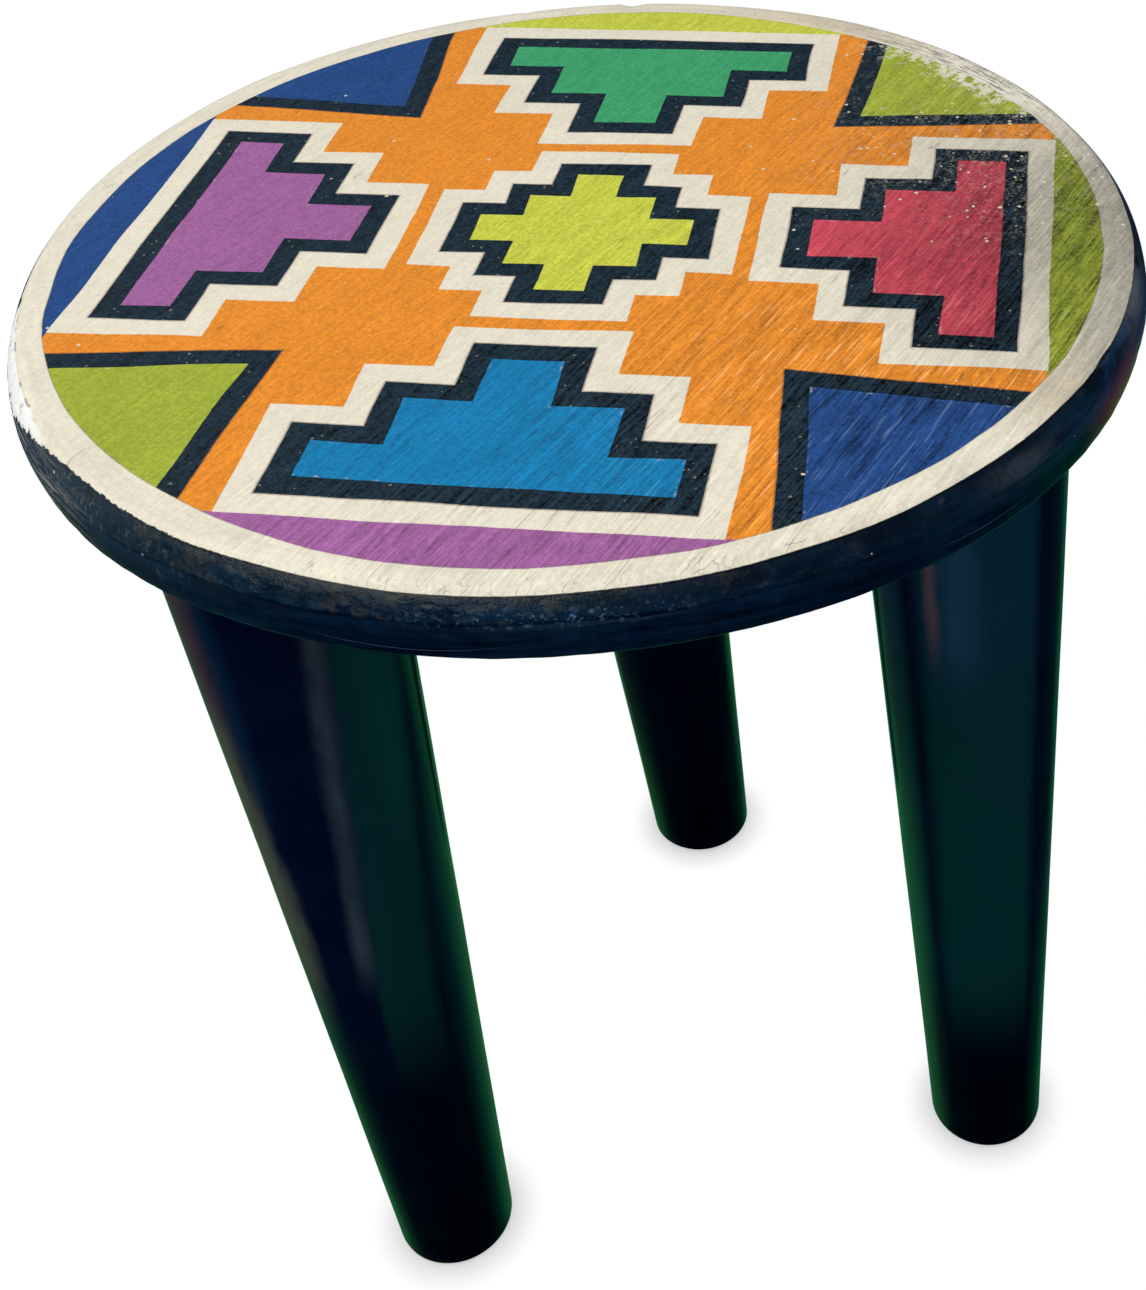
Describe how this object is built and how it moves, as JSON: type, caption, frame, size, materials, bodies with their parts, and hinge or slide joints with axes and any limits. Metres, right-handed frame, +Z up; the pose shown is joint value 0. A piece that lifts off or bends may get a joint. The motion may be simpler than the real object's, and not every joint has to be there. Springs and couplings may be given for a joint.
{
  "type": "round three-legged stool",
  "caption": "Low wooden stool: a round board seat with a painted geometric top on splayed, tapered round legs wedged into its underside.",
  "frame": {"origin": "the point on the floor under the middle of the seat", "axes": "+Z up; +Y from the middle of the seat to the back leg's mortise; +X to the right seen from the front"},
  "size_m": [0.3472, 0.3472, 0.43],
  "materials": {
    "seat_paint": "satin hand paint on wood, grain and cracks showing through",
    "black_paint": "glossy blue-black hand paint on wood",
    "bare_wood": "unfinished"
  },
  "bodies": {
    "root": {"seat_board_left": "seat_paint", "seat_board_middle": "seat_paint", "seat_board_right": "seat_paint", "leg_front_left": "black_paint", "leg_right": "black_paint", "leg_back": "black_paint", "left_seam_dowel_1": "bare_wood", "left_seam_dowel_2": "bare_wood", "left_seam_dowel_3": "bare_wood", "right_seam_dowel_1": "bare_wood", "right_seam_dowel_2": "bare_wood", "right_seam_dowel_3": "bare_wood", "wedge_front_left": "bare_wood", "wedge_right": "bare_wood", "wedge_back": "bare_wood"}
  },
  "joints": []
}
